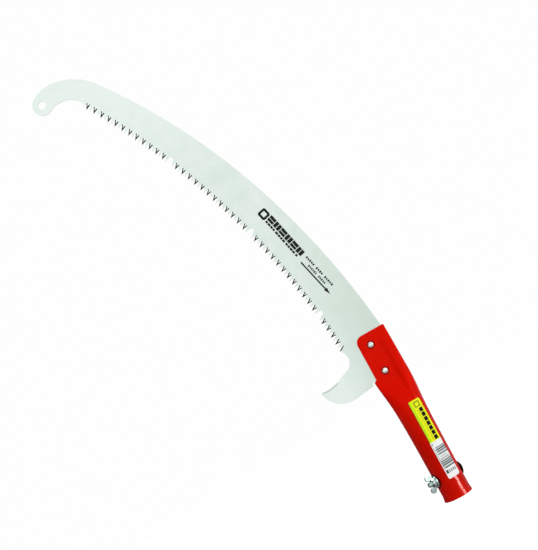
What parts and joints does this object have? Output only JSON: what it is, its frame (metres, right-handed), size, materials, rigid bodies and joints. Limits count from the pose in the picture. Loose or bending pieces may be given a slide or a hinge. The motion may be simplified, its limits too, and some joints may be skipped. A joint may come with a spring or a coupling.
{
  "type": "pole saw",
  "caption": "Curved pruning-saw head with a lower hook, riveted in a pressed tubular socket that clamps on a long pole with a carriage bolt and wing nut.",
  "frame": {"origin": "centre of the pole socket's mouth", "axes": "+Z along the socket's axis towards the saw, the saw plate in the XZ plane with its teeth towards -X, -Y towards the printed side"},
  "size_m": [0.22, 0.033, 0.5942],
  "materials": {
    "saw_steel": "satin",
    "red_paint": "gloss",
    "rivet_steel": "bright",
    "bolt_steel": "zinc plated",
    "nut_zinc": "zinc plated",
    "sticker_film": "gloss"
  },
  "bodies": {
    "head": {"saw_blade": "saw_steel", "socket": "red_paint", "upper_rivet": "rivet_steel", "lower_rivet": "rivet_steel", "carriage_bolt": "bolt_steel", "label_sticker": "sticker_film"},
    "washer": {"plain_washer": "nut_zinc"},
    "nut": {"wing_nut": "nut_zinc"}
  },
  "joints": [
    {"name": "nut_travel", "type": "slide", "parent": "head", "child": "washer", "axis": [-0.9397, -0.342, 0], "range_m": [0, 0.0056]},
    {"name": "nut_spin", "type": "hinge", "parent": "washer", "child": "nut", "pos_m": [-0.01879, -0.00684, 0.0255], "axis": [-0.9397, -0.342, 0], "range_deg": [0, 2016.1]}
  ],
  "couplings": [
    {"joint": "nut_spin", "follows": "nut_travel", "rad_per_m": 6283.2}
  ]
}
